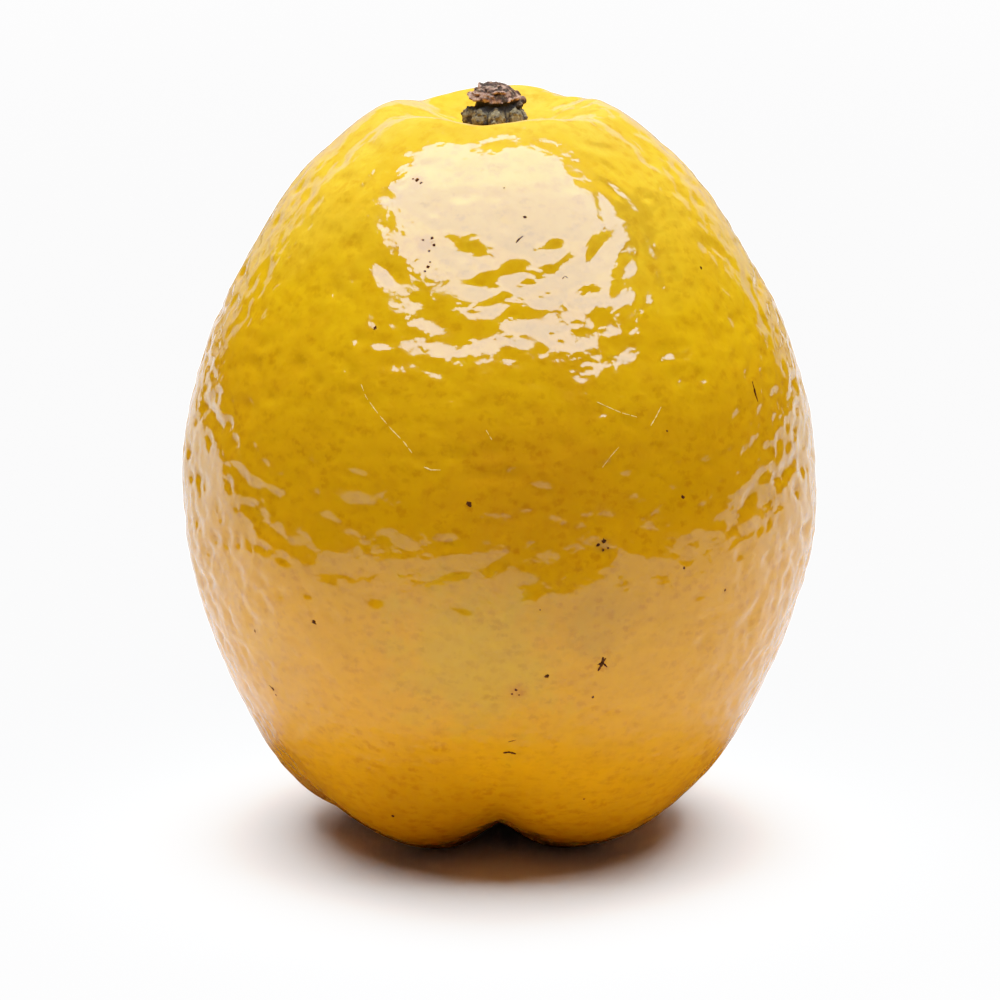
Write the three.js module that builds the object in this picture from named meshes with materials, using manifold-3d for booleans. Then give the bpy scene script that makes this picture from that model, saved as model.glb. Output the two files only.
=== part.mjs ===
// A quince standing on its blossom end: a five-lobed fruit, the woody stub of its stalk in the
// hollow on top, and the dried calyx hidden in the basin underneath.
// Millimetres, +Z up. The origin is on the resting plane, under the middle of the fruit.
// Azimuth is measured from the front (-Y) towards +X, and the deepest groove faces the front.

import * as THREE from "three";
import { mergeVertices } from "three/addons/utils/BufferGeometryUtils.js";
import Module from "manifold-3d";

const wasm = await Module();
wasm.setup();

// Fruit: heights above the resting plane and radii along the crest of a lobe.
const RIM_HEIGHT = 94.2;
const RIM_RADIUS = 13;
const CAVITY_DEPTH = 2.6;
const FOOT_RADIUS = 14;
const BASIN_DEPTH = 9;
const FLANK = [
  [22.6, 3],
  [28.3, 8],
  [32.9, 16],
  [37.6, 27],
  [40.4, 40],
  [40, 53],
  [37, 65],
  [31.3, 76],
  [25.7, 84.5],
  [20, 90],
];
const WAIST_RADIUS = Math.max(...FLANK.map(([radius]) => radius));
const MIDDLE_HEIGHT = 46;
const PRESSED_FLAT = 0.15;
const STALK_LEAN = -0.5;

// Lobes: how deep the grooves between them are at the foot, at the waist and round the rim.
const LOBES = 5;
const FOOT_GROOVE = 3.5;
const FOOT_GROOVE_HEIGHT = 12;
const WAIST_GROOVE = 0.45;
const RIM_GROOVE = 0.4;
const RIM_GROOVE_HEIGHT = 10;
const SIDE_GROOVES = 0.45;
const TWIST = THREE.MathUtils.degToRad(-8);

// Shoulders that stand higher than the rest of the rim: [azimuth in degrees, lift, width in radians].
const SHOULDERS = [
  [157, 0.75, 0.5],
  [-5, 0.45, 0.7],
];
const SHOULDER_HEIGHT = 7;

// Stalk stub, measured from the plane it is seated on.
const STALK_SEAT = RIM_HEIGHT - CAVITY_DEPTH + 0.4;
const COLLAR_RADIUS = 3.15;
const COLLAR_LOBES = 9;
const CAP_RADIUS = 3.25;
const CAP_HEIGHT = 4.9;

// Calyx, hung from the roof of the basin.
const SEPALS = 5;
const SEPAL_LENGTH = 8;
const SEPAL_WIDTH = 4;
const SEPAL_THICKNESS = 0.8;
const CALYX_ROOT = 8;
const STAMENS = 10;

const GAP = 0.3;
const ROUND_STEPS = 72;
const TURN = 2 * Math.PI;

// Solids

function solidOf(geometry) {
  const bare = geometry.clone();
  bare.deleteAttribute("normal");
  bare.deleteAttribute("uv");
  const merged = mergeVertices(bare, 1e-4);
  const mesh = new wasm.Mesh({
    numProp: 3,
    vertProperties: merged.attributes.position.array,
    triVerts: new Uint32Array(merged.index.array),
  });
  return new wasm.Manifold(mesh);
}

function geometryOf(solid) {
  const mesh = solid.getMesh();
  const geometry = new THREE.BufferGeometry();
  geometry.setAttribute("position", new THREE.BufferAttribute(mesh.vertProperties, 3));
  geometry.setIndex(new THREE.BufferAttribute(mesh.triVerts, 1));
  geometry.computeVertexNormals();
  return geometry;
}

function joined(geometries) {
  return geometries.map(solidOf).reduce((whole, piece) => whole.add(piece));
}

// Moves every vertex of a geometry by a function that changes the vector it is given.
function reshape(geometry, change) {
  const position = geometry.attributes.position;
  const point = new THREE.Vector3();
  for (let i = 0; i < position.count; i += 1) {
    point.fromBufferAttribute(position, i);
    change(point);
    position.setXYZ(i, point.x, point.y, point.z);
  }
  return geometry;
}

// Turns a profile of [radius, height] points about +Z, its first step facing the front.
function turned(profile, steps) {
  const points = profile.map(([radius, height]) => new THREE.Vector2(radius, height));
  return new THREE.LatheGeometry(points, steps).rotateX(Math.PI / 2);
}

function azimuthOf(point) {
  return Math.atan2(point.x, -point.y);
}

// A smooth run through [radius, height] knots from axis to axis, level where it meets the axis.
function smoothProfile(knots, stepsPerSpan) {
  const mirrored = ([radius, height]) => [-radius, height];
  const guided = [mirrored(knots[1]), ...knots, mirrored(knots[knots.length - 2])];
  const curve = new THREE.SplineCurve(guided.map(([r, z]) => new THREE.Vector2(r, z)));
  const spans = guided.length - 1;
  const profile = [];
  for (let span = 1; span < spans - 1; span += 1) {
    const steps = stepsPerSpan(knots[span - 1], knots[span]);
    for (let step = 0; step < steps; step += 1) {
      const point = curve.getPoint((span + step / steps) / spans);
      profile.push([Math.max(point.x, 0), point.y]);
    }
  }
  profile.push(knots[knots.length - 1]);
  return profile;
}

// Fruit

const smooth = (value, width) => Math.exp(-((value / width) ** 2));

// 1 in a groove, 0 on the crest of a lobe. A sharpness near 1 makes a crease, above it a valley.
function groove(azimuth, sharpness) {
  const rounding = 0.02;
  return 1 - Math.hypot(Math.sin((LOBES / 2) * azimuth), rounding) ** sharpness;
}

// Widens some lobes and narrows others, and leaves the front groove where it is.
function unevenAzimuth(azimuth) {
  const first = 0.1 * (Math.sin(azimuth + 0.9) - Math.sin(0.9));
  const second = 0.05 * (Math.sin(2 * azimuth + 2.3) - Math.sin(2.3));
  return azimuth + first + second;
}

// The shape has no grooves or shoulders on the axis itself.
const centreFade = (radius) => 1 - smooth(radius, 5);

// At the foot the front groove is the deepest, and the others are shallower by the same share.
function grooveDepth(radius, height, azimuth) {
  const turnedAzimuth = unevenAzimuth(azimuth - TWIST * (height / RIM_HEIGHT));
  const frontness = SIDE_GROOVES + (1 - SIDE_GROOVES) * smooth(turnedAzimuth, 0.7);
  const foot = FOOT_GROOVE * frontness * smooth(height, FOOT_GROOVE_HEIGHT) * groove(turnedAzimuth, 1.07);
  const rim = RIM_GROOVE * smooth(RIM_HEIGHT - height, RIM_GROOVE_HEIGHT);
  const soft = groove(turnedAzimuth, 1.3);
  return centreFade(radius) * (foot + rim * soft + WAIST_GROOVE * soft);
}

function shoulderLift(radius, height, azimuth) {
  const nearRim = smooth(RIM_HEIGHT - height, SHOULDER_HEIGHT) * centreFade(radius);
  const lifts = SHOULDERS.map(([degrees, lift, width]) => {
    const turn = azimuth - THREE.MathUtils.degToRad(degrees);
    return lift * smooth(Math.atan2(Math.sin(turn), Math.cos(turn)), width);
  });
  return nearRim * lifts.reduce((total, lift) => total + lift, 0);
}

// Broad shallow swellings of the flesh, a few centimetres from one to the next.
// Each product of waves turns by so many radians a millimetre along the axes.
function swelling(x, y, z) {
  const first = Math.sin(0.17 * x + 0.09 * z + 0.6) * Math.cos(0.19 * y - 0.07 * z + 0.3);
  const second = Math.sin(0.23 * y + 0.14 * z + 2.1) * Math.cos(0.26 * x - 0.17 * z + 1.2);
  return 0.3 * first + 0.17 * second;
}

function fruitKnots() {
  const basin = [
    [0, BASIN_DEPTH],
    [0.35 * FOOT_RADIUS, 0.93 * BASIN_DEPTH],
    [0.62 * FOOT_RADIUS, 0.45 * BASIN_DEPTH],
    [0.82 * FOOT_RADIUS, 0.1 * BASIN_DEPTH],
    [FOOT_RADIUS, 0],
  ];
  const cavity = [
    [1.22 * RIM_RADIUS, RIM_HEIGHT - 1.1],
    [RIM_RADIUS, RIM_HEIGHT],
    [0.72 * RIM_RADIUS, RIM_HEIGHT - 0.38 * CAVITY_DEPTH],
    [0.38 * RIM_RADIUS, RIM_HEIGHT - 0.93 * CAVITY_DEPTH],
    [0, RIM_HEIGHT - CAVITY_DEPTH],
  ];
  return [...basin, ...FLANK, ...cavity];
}

function fruit() {
  const profile = smoothProfile(fruitKnots(), (from) => (from[1] < BASIN_DEPTH ? 3 : 2));
  const body = reshape(turned(profile, ROUND_STEPS), (point) => {
    const place = [Math.hypot(point.x, point.y), point.z, azimuthOf(point)];
    const shrink = 1 - grooveDepth(...place) / MIDDLE_HEIGHT;
    const lift = shoulderLift(...place);
    const edge = Math.sin(Math.PI * THREE.MathUtils.clamp(point.z / RIM_HEIGHT, 0, 1));
    const swell = 1 + (edge * swelling(point.x, point.y, point.z)) / WAIST_RADIUS;
    const above = Math.max(point.z - MIDDLE_HEIGHT, 0) / MIDDLE_HEIGHT;
    point.x = point.x * shrink * swell + STALK_LEAN * above ** 2;
    point.y *= shrink * swell;
    point.z = MIDDLE_HEIGHT + (point.z - MIDDLE_HEIGHT) * shrink - PRESSED_FLAT + lift;
  });
  const below = 20;
  const table = new THREE.BoxGeometry(200, 200, below).translate(0, 0, -below / 2);
  return solidOf(body).subtract(solidOf(table));
}

// Stalk stub: a ring of corky lobes at its swollen foot, a neck, and the torn cap above.

function collarLobe(index, margin) {
  const azimuth = (index + 0.3 * Math.sin(2.4 * index)) * (TURN / COLLAR_LOBES);
  const size = 1 + 0.14 * Math.sin(1.7 * index + 0.8);
  return new THREE.SphereGeometry(1, 10, 8)
    .rotateX(Math.PI / 2)
    .scale(1.14 * size + margin, 1.1 + margin, 1.55 * size + margin)
    .rotateX(THREE.MathUtils.degToRad(-17))
    .translate(0, -COLLAR_RADIUS, 0.85)
    .rotateZ(azimuth);
}

function collar(margin) {
  return Array.from({ length: COLLAR_LOBES }, (_, index) => collarLobe(index, margin));
}

function stalkCore() {
  const profile = [
    [0, -0.1],
    [3.7, -0.1],
    [3.9, 0.35],
    [2.9, 1.6],
    [2.05, 2.4],
    [2.15, 2.7],
    [0.94 * CAP_RADIUS, 2.85],
    [CAP_RADIUS, 3.15],
    [0.95 * CAP_RADIUS, 3.5],
    [0.8 * CAP_RADIUS, 3.85],
    [0.67 * CAP_RADIUS, 4.3],
    [0.48 * CAP_RADIUS, 0.98 * CAP_HEIGHT],
    [0.3 * CAP_RADIUS, CAP_HEIGHT],
    [0, 0.9 * CAP_HEIGHT],
  ];
  const brimHeight = 3.15;
  return reshape(turned(profile, 40), (point) => {
    const azimuth = azimuthOf(point);
    const torn = smooth(point.z - brimHeight, 0.7) + smooth(point.z - CAP_HEIGHT, 0.7);
    const ragged = 0.07 * Math.sin(7 * azimuth + 1) + 0.05 * Math.sin(11 * azimuth + 2.2);
    const reach = 1 + torn * ragged;
    const lift = 0.16 * Math.sin(3 * azimuth + 0.5) + 0.12 * Math.sin(5 * azimuth + 1.9);
    const radius = Math.hypot(point.x, point.y);
    point.z += torn * lift * Math.min(radius / CAP_RADIUS, 1);
    point.x *= reach;
    point.y *= reach;
  });
}

// Buds of bark that stand out beside the cap: [azimuth in degrees, radius, height, size].
const BARK_BUDS = [
  [84, 3.65, 3.0, 0.72],
  [112, 3.2, 3.5, 0.6],
  [205, 3.3, 3.1, 0.66],
  [322, 2.9, 3.55, 0.5],
];

function barkBud([azimuth, radius, height, size]) {
  return new THREE.SphereGeometry(size, 8, 6)
    .scale(1, 1.15, 0.9)
    .translate(0, -radius, height)
    .rotateZ(THREE.MathUtils.degToRad(azimuth));
}

function stalk() {
  return joined([stalkCore(), ...collar(0), ...BARK_BUDS.map(barkBud)]);
}

// Calyx: five dried sepals round the stumps of the stamens, opening downwards.

// A leaf outline, wide below its middle and pointed, bent down and out from the root.
function sepal(index) {
  const half = SEPAL_WIDTH / 2;
  const outline = new THREE.Shape();
  outline.moveTo(-0.55 * half, -0.4);
  outline.lineTo(0.55 * half, -0.4);
  outline.bezierCurveTo(1.25 * half, 0.3 * SEPAL_LENGTH, 0.9 * half, 0.55 * SEPAL_LENGTH, 0.16, SEPAL_LENGTH);
  outline.lineTo(-0.16, SEPAL_LENGTH);
  outline.bezierCurveTo(-0.9 * half, 0.55 * SEPAL_LENGTH, -1.25 * half, 0.3 * SEPAL_LENGTH, -0.55 * half, -0.4);
  const blade = new THREE.ExtrudeGeometry(outline, {
    depth: SEPAL_THICKNESS,
    bevelEnabled: false,
    curveSegments: 5,
  });
  const fine = solidOf(blade.translate(0, 0, -SEPAL_THICKNESS / 2)).refineToLength(1.7);
  const openness = THREE.MathUtils.degToRad(56 + 8 * Math.sin(2.1 * index));
  const curl = -0.035;
  const trough = 0.16;
  const bent = reshape(geometryOf(fine), (point) => {
    const along = Math.max(point.y, 0);
    point.z += trough * point.x * point.x - curl * along * along;
  });
  return bent
    .rotateX(-openness)
    .rotateX(Math.PI)
    .rotateY(Math.PI)
    .translate(0, -1.5, 0)
    .rotateZ((index + 0.12 * Math.sin(3 * index)) * (TURN / SEPALS));
}

function stamen(index) {
  const azimuth = index * (TURN / STAMENS) + 0.2 * Math.sin(5 * index);
  const length = 2.6 + 0.5 * Math.sin(2.9 * index);
  return new THREE.CylinderGeometry(0.22, 0.3, length, 6)
    .rotateX(-Math.PI / 2)
    .translate(0, 0, -length / 2)
    .rotateX(THREE.MathUtils.degToRad(-14 - 8 * Math.sin(1.3 * index)))
    .translate(0, -1.15, 0.2)
    .rotateZ(azimuth);
}

function calyx() {
  const cup = turned(
    [
      [0, -0.7],
      [1.6, -0.55],
      [2.5, 0.1],
      [2.2, 0.4],
      [0, 0.45],
    ],
    30,
  );
  const sepals = Array.from({ length: SEPALS }, (_, index) => sepal(index));
  const stamens = Array.from({ length: STAMENS }, (_, index) => stamen(index));
  return joined([cup, ...sepals, ...stamens]);
}

// Assembly

function piece(name, solid, material) {
  const mesh = new THREE.Mesh(geometryOf(solid), new THREE.MeshStandardMaterial(material));
  mesh.name = name;
  return mesh;
}

const stalkSolid = stalk().translate([STALK_LEAN, 0, STALK_SEAT]);
const calyxSolid = calyx().translate([0, 0, CALYX_ROOT]);

// The flesh stands back from the lobes of the collar by the same small gap all round.
const socket = joined(collar(GAP)).translate([STALK_LEAN, 0, STALK_SEAT]);
const fruitSolid = fruit().subtract(socket);

const quince = new THREE.Group();
quince.name = "quince";
quince.add(
  piece("fruit", fruitSolid, { color: 0xe3a80c, roughness: 0.28, metalness: 0 }),
  piece("stalk", stalkSolid, { color: 0x6b5644, roughness: 0.92, metalness: 0 }),
  piece("calyx", calyxSolid, { color: 0x5d4a32, roughness: 0.95, metalness: 0 }),
);

// The origin goes under the middle of the fruit's own box.
const box = new THREE.Box3().setFromObject(quince);
const middle = box.getCenter(new THREE.Vector3());
quince.children.forEach((mesh) => mesh.geometry.translate(-middle.x, -middle.y, -box.min.z));

export default quince;
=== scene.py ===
# A glossy ripe quince on a white table. The skin, the corky stub of the stalk and the dried calyx
# replace the three plain solids of the frame, in the frame's own place and size.
# The fruit's formula works in millimetres. Blender objects are in metres.
# Azimuth is measured from the front (-Y) towards +X.

import math
from types import SimpleNamespace

import bpy
import numpy as np
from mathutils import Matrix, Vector, noise
from mathutils.bvhtree import BVHTree
from mathutils.kdtree import KDTree


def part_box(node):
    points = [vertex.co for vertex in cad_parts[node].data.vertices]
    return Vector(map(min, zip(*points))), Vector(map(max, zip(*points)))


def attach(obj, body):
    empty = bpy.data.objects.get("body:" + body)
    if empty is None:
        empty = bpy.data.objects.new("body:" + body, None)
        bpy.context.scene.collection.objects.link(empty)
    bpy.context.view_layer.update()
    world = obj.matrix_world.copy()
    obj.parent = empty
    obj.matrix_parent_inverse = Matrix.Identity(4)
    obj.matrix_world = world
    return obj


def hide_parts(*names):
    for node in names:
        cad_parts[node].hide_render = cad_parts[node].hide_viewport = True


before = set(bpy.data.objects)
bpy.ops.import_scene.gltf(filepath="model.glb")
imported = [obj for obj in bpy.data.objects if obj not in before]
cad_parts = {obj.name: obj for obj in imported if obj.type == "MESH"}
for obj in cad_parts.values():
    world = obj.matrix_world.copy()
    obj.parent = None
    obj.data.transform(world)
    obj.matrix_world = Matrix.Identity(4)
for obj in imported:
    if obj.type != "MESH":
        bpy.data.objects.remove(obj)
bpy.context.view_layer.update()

MM = 0.001
TURN = 2 * math.pi
SEED = 11

# Fruit, in millimetres: heights above the table, and radii along the crest of a lobe.
RIM_HEIGHT = 94.2
RIM_RADIUS = 13
CAVITY_DEPTH = 2.6
FOOT_RADIUS = 14
BASIN_DEPTH = 9
FLANK = [
    (22.6, 3),
    (28.3, 8),
    (32.9, 16),
    (37.6, 27),
    (40.4, 40),
    (40, 53),
    (37, 65),
    (31.3, 76),
    (25.7, 84.5),
    (20, 90),
]
WAIST_RADIUS = max(radius for radius, height in FLANK)
MIDDLE_HEIGHT = 46
PRESSED_FLAT = 0.15
STALK_LEAN = -0.5

# Lobes: how deep the grooves between them are at the foot, at the waist and round the rim.
LOBES = 5
FOOT_GROOVE = 3.5
FOOT_GROOVE_HEIGHT = 12
WAIST_GROOVE = 0.45
RIM_GROOVE = 0.4
RIM_GROOVE_HEIGHT = 10
# How deep the foot's grooves at the sides and back are, as a share of the front one.
SIDE_GROOVES = 0.3
TWIST = math.radians(-8)

# Shoulders that stand higher than the rest of the rim: azimuth in degrees, lift, width in radians.
SHOULDERS = [
    (157, 0.75, 0.5),
    (-5, 0.45, 0.7),
]
SHOULDER_HEIGHT = 7

# Stalk stub, measured from the plane it is seated on.
STALK_SEAT = RIM_HEIGHT - CAVITY_DEPTH + 0.4
COLLAR_RADIUS = 3.15
COLLAR_LOBES = 9
CAP_RADIUS = 3.25
CAP_LEAN = -0.4
CAP_PLACE = (CAP_LEAN, 0, 0)
LOBE_TILT = math.radians(-17)
LOBE_CENTRE = np.array((0, -COLLAR_RADIUS, 0.75))
BARK_CELL = 0.11
# The core up to the recess, darkened by painted shade: radius and height. The cap's dome: share of its
# radius and height.
CORE = [(0, -0.1), (3.3, -0.1), (3.3, 0.3), (2.9, 1.4), (2.6, 2.2), (2.5, 2.6)]
DOME = [(0.9, 3.15), (0.8, 3.7), (0.63, 4.3), (0.4, 4.8), (0.2, 5.0)]
# Plates of bark on the cap: share of its radius, height and thickness.
CAP_PLATES = [(0.98, 3.15, 0.5), (0.8, 3.85, 0.42), (0.52, 4.6, 0.36)]
# A plate's section: share of its radius, and share of its thickness above its middle.
PLATE_EDGE = [
    (0, -1.0), (0.5, -0.9), (0.8, -0.55), (0.93, -0.35), (1.0, 0.0),
    (0.96, 0.4), (0.8, 0.6), (0.6, 0.45), (0, 0.35),
]
RIM_STEPS = 96
# Buds under the cap: azimuth in degrees, distance from the axis, height and half size.
BUDS = [
    (84, 3.2, 2.85, 0.62), (103, 2.6, 3.45, 0.55), (70, 2.6, 3.0, 0.5), (125, 3.0, 3.1, 0.5),
    (86, 2.9, 2.3, 0.5), (68, 3.0, 2.4, 0.5), (205, 3.2, 3.0, 0.6), (322, 2.8, 3.3, 0.45),
]
COLLAR_GRAINS = 150
CAP_GRAINS = 120
GRAIN_SIZE = (0.14, 0.3)
# Cells along each side of the six patches of a ball.
BALL_CELLS = 10
GRAIN_CELLS = 4

# Calyx, hung from the roof of the basin.
SEPALS = 5
SEPAL_LENGTH = 8
SEPAL_WIDTH = 4
CALYX_ROOT = 8
STAMENS = 10

# Skin: cells along each side of the six patches that make it, and how far they crowd to the front.
SKIN_CELLS = 126
FRONT_PULL = 0.22
# The pits that show as holes in the gloss, and the finer orange peel between them. Pairs are the
# least and the most. Below the low heights and past the side reach, shares scale the steepness, and
# side_size scales the radius. None comes within the clearance of a placed pit.
PITS = SimpleNamespace(
    spacing=3.0, radius=(0.6, 1.1), stretch=(1.1, 2.3), steepness=(0.08, 0.38), rarity=1.5,
    low_share=0.3, side_share=1.5, side_size=1, clearance=2.6,
)
PEEL = SimpleNamespace(
    spacing=1.6, radius=(0.45, 0.8), stretch=(1, 1.7), steepness=(0.02, 0.14), rarity=1,
    low_share=1, side_share=2.7, side_size=1.1, clearance=1.3,
)
LOW_HEIGHTS = (20, 38)
SIDE_REACH = (22, 34)
TURN_SPREAD = 0.35
PORE_PITCH = 1.15
# Faint waves in the skin, and the seat that the stalk is sunk into.
RIPPLE = 0.02
RIPPLE_LENGTH = 9
SEAT_DEPTH = 0.9
SEAT_RADIUS = 3.9

# Gloss of the picture, in pixels: the first and last row of the softbox's reflection, the row of the
# table's far edge in the middle, how much higher it is 200 pixels to the side, and the radius in
# millimetres of the flank's curve from top to bottom.
PIXELS_PER_MM = 7.9
SOFTBOX_ROWS = (148, 350)
MIDDLE_ROW = 430
HORIZON_ROW = 570
HORIZON_SAG = 27
FLANK_BEND = 57
# The skin is smooth round this pixel: full and no calm at these distances in millimetres.
CALM_PIXEL = (505, 225)
CALM_REACH = (11, 19)
CALM_SHARE = 0.2
# A placed pit: the share of its radius that shows as a hole, the steepest slope of a dent of depth
# and radius 1, how much steeper it is than it must be, and its limits.
PIT_SHOWN = 0.76
DENT_SLOPE = 0.858
TILT_MARGIN = 1.35
LEAST_TILT = math.radians(4.5)
LEAST_PLACED_RADIUS = 0.7
STEEPEST_HOLE = 0.5
STEEPEST_FLECK = 0.26
# Holes in the gloss of the picture and flecks outside it, in pixels: x, y, width, height, and the
# slant in degrees. A pit is pressed into the skin for each, and no other pit within the clearance.
HOLES = [
    (460, 200, 14, 5, 10), (434, 214, 12, 6, -25), (467, 243, 22, 9, -25), (505, 229, 12, 5, -25),
    (555, 245, 15, 7, 20), (598, 245, 22, 7, 40), (559, 262, 32, 9, 35), (511, 269, 17, 6, 20),
    (527, 281, 14, 5, 5), (547, 288, 20, 7, 22), (481, 277, 18, 9, -10), (472, 259, 9, 7, -20),
    (491, 298, 18, 8, 20), (589, 291, 19, 6, 0), (523, 312, 38, 11, 5), (555, 318, 20, 7, 5),
    (582, 329, 18, 8, 0), (607, 315, 13, 12, 45), (431, 308, 34, 11, -40), (388, 264, 18, 7, -35),
    (246, 545, 18, 13, 0), (262, 537, 8, 18, 70), (326, 545, 24, 15, 0), (304, 558, 20, 11, -25),
    (404, 562, 36, 9, 0), (331, 578, 22, 9, -10), (369, 582, 15, 9, 0), (420, 583, 36, 12, 5),
    (476, 607, 23, 12, 20), (396, 596, 16, 6, 0), (663, 541, 30, 15, 15), (672, 559, 22, 8, 15),
    (711, 559, 22, 12, 0), (711, 529, 20, 14, 10), (735, 542, 14, 18, 50), (588, 570, 27, 16, 0),
    (556, 579, 15, 5, 0), (531, 594, 20, 9, 10), (624, 589, 18, 13, 35), (641, 600, 12, 9, 10),
    (664, 586, 12, 12, 45), (535, 626, 19, 8, 0), (742, 593, 9, 8, 45), (490, 655, 14, 5, 0),
    (479, 166, 28, 5, 88), (553, 150, 22, 4, -34), (571, 164, 24, 4, -42), (584, 183, 24, 4, -65),
    (590, 165, 26, 4, -50), (601, 190, 28, 4, -75), (603, 216, 24, 4, 80),
]
FLECKS = [
    (433, 348, 45, 9, -12), (482, 346, 27, 11, 20), (520, 344, 22, 8, -20), (523, 366, 30, 6, -15),
    (587, 370, 20, 9, 25), (621, 365, 8, 15, 60), (636, 376, 9, 7, 40), (508, 384, 11, 5, -10),
    (451, 387, 40, 7, -32), (453, 403, 20, 5, 0), (474, 414, 12, 5, 5), (568, 394, 10, 5, -5),
    (537, 360, 10, 6, 0), (403, 337, 10, 5, -20), (290, 506, 15, 6, 0), (316, 491, 18, 8, 10),
    (357, 496, 30, 10, 0), (418, 545, 50, 8, 20), (605, 512, 24, 9, 0), (581, 526, 20, 9, 30),
    (716, 491, 14, 12, -20), (731, 499, 14, 10, -10), (628, 521, 13, 7, 0), (667, 527, 20, 12, 10),
    (706, 520, 12, 7, 10), (765, 486, 8, 20, 65), (553, 557, 30, 10, 10), (378, 160, 20, 5, 65),
    (369, 188, 22, 6, 80), (360, 208, 14, 5, 70), (646, 252, 20, 5, -80), (653, 277, 20, 6, -85),
    (660, 295, 18, 4, -80), (643, 299, 14, 6, 90), (626, 268, 7, 5, 0), (616, 196, 24, 5, -65),
    (590, 150, 20, 4, -40), (612, 172, 20, 4, -60), (654, 320, 14, 4, -80),
]

# Skin colours from the foot (0) to the rim (1): partly the skin's own yellow, partly painted light and
# shade, darkest at the foot, darker round the middle and lightest on the top, as the light falls on
# them.
SKIN_TONES_AND_SHADE = [
    (0.0, (0.40, 0.135, 0.001, 1)),
    (0.08, (0.45, 0.16, 0.001, 1)),
    (0.2, (0.68, 0.245, 0.002, 1)),
    (0.35, (0.62, 0.235, 0.002, 1)),
    (0.5, (0.48, 0.205, 0.001, 1)),
    (0.62, (0.52, 0.235, 0.0015, 1)),
    (0.78, (0.62, 0.31, 0.003, 1)),
    (0.93, (0.72, 0.39, 0.02, 1)),
    (1.0, (0.74, 0.42, 0.04, 1)),
]
MOTTLE_TONE = (0.50, 0.20, 0.003, 1)
SPECKLE_TONE = (0.40, 0.14, 0.002, 1)
# Painted shade for the hollows of the fine folds near the foot.
CREASE_SHADE_TONE = (0.40, 0.13, 0.001, 1)
PORE_TINT = (0.8, 0.74, 0.66, 1)
# Tinted patches of the picture: pixel, radius in millimetres, colour and strength.
PATCHES = [
    ((535, 490), 15, (0.40, 0.14, 0.003, 1), 0.45),
    ((470, 660), 14, (0.46, 0.28, 0.01, 1), 0.45),
    ((330, 700), 12, (0.70, 0.25, 0.01, 1), 0.3),
    ((680, 720), 12, (0.68, 0.25, 0.01, 1), 0.25),
    ((250, 620), 9, (0.70, 0.30, 0.02, 1), 0.25),
    ((600, 620), 7, (0.36, 0.16, 0.01, 1), 0.35),
    ((425, 245), 1.8, (0.30, 0.10, 0.01, 1), 0.6),
    ((418, 181), 1.5, (0.32, 0.11, 0.01, 1), 0.5),
    ((516, 692), 1.6, (0.40, 0.12, 0.01, 1), 0.5),
    ((602, 546), 1.8, (0.22, 0.10, 0.01, 1), 0.45),
]

# Camera: it looks at the fruit's axis from the front and a little above.
LENS = 200
SENSOR = 36
PICTURE = 1000
CAMERA_DISTANCE = 712
CAMERA_PITCH = math.radians(13.8)
LOOK_HEIGHT = 42.8

# Stage, in metres: the grey card that the skin mirrors, the cloths on it, the flag under the softbox
# and the height of the lights above.
CARD_FRONT = -0.2
CARD_BACK = 0.9
CARD_HEIGHT = 0.0004
CLOTH_HEIGHT = 0.0008
CLOTHS = {
    "front_cloth": [(-1.2, -1), (1.2, -1), (1.2, CARD_FRONT), (-1.2, CARD_FRONT)],
    "left_cloth": [
        (-1.2, CARD_FRONT), (-0.15, CARD_FRONT), (-0.42, 0.4), (-0.5, CARD_BACK), (-1.2, CARD_BACK),
    ],
    "right_cloth": [
        (0.15, CARD_FRONT), (1.2, CARD_FRONT), (1.2, CARD_BACK), (0.53, CARD_BACK), (0.48, 0.4),
    ],
}
FLAG = [(-0.78, -0.5), (-0.78, -1.0), (-0.34, -1.0)]
FLAG_HEIGHT = 0.97
TOP = 0.98
TABLE_WHITE = (0.93, 0.93, 0.93, 1)
CLOTH_BLACK = (0.012, 0.01, 0.009, 1)
DARK_ROOM = (0.018, 0.013, 0.01, 1)
WHITE = (1, 1, 1, 1)
# The card's two greys, and the distances from the fruit's axis, in millimetres, between them.
SHADED_GREY = (0.16, 0.07, 0.02, 1)
OPEN_GREY = (0.46, 0.435, 0.41, 1)
SHADE_REACH = (36, 52)


# The fruit's shape

def smooth(value, width):
    return np.exp(-((value / width) ** 2))


def groove(azimuth, sharpness):
    """1 in a groove, 0 on the crest of a lobe. A sharpness near 1 makes a crease, above it a valley."""
    rounding = 0.02
    return 1 - np.hypot(np.sin(LOBES / 2 * azimuth), rounding) ** sharpness


def uneven_azimuth(azimuth):
    """Widens some lobes and narrows others, and leaves the front groove where it is."""
    first = 0.1 * (np.sin(azimuth + 0.9) - math.sin(0.9))
    second = 0.05 * (np.sin(2 * azimuth + 2.3) - math.sin(2.3))
    return azimuth + first + second


def centre_fade(radius):
    return 1 - smooth(radius, 5)


def groove_depth(radius, height, azimuth):
    turned = uneven_azimuth(azimuth - TWIST * height / RIM_HEIGHT)
    front = smooth(turned, 0.7)
    share = SIDE_GROOVES + (1 - SIDE_GROOVES) * front
    crease = groove(turned, 1.07 + 0.9 * (1 - front))
    foot = FOOT_GROOVE * share * smooth(height, FOOT_GROOVE_HEIGHT) * crease
    rim = RIM_GROOVE * smooth(RIM_HEIGHT - height, RIM_GROOVE_HEIGHT)
    soft = groove(turned, 1.3)
    return centre_fade(radius) * (foot + rim * soft + WAIST_GROOVE * soft)


def shoulder_lift(radius, height, azimuth):
    lift = 0
    for degrees, rise, width in SHOULDERS:
        turn = azimuth - math.radians(degrees)
        lift = lift + rise * smooth(np.arctan2(np.sin(turn), np.cos(turn)), width)
    return lift * smooth(RIM_HEIGHT - height, SHOULDER_HEIGHT) * centre_fade(radius)


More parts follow.
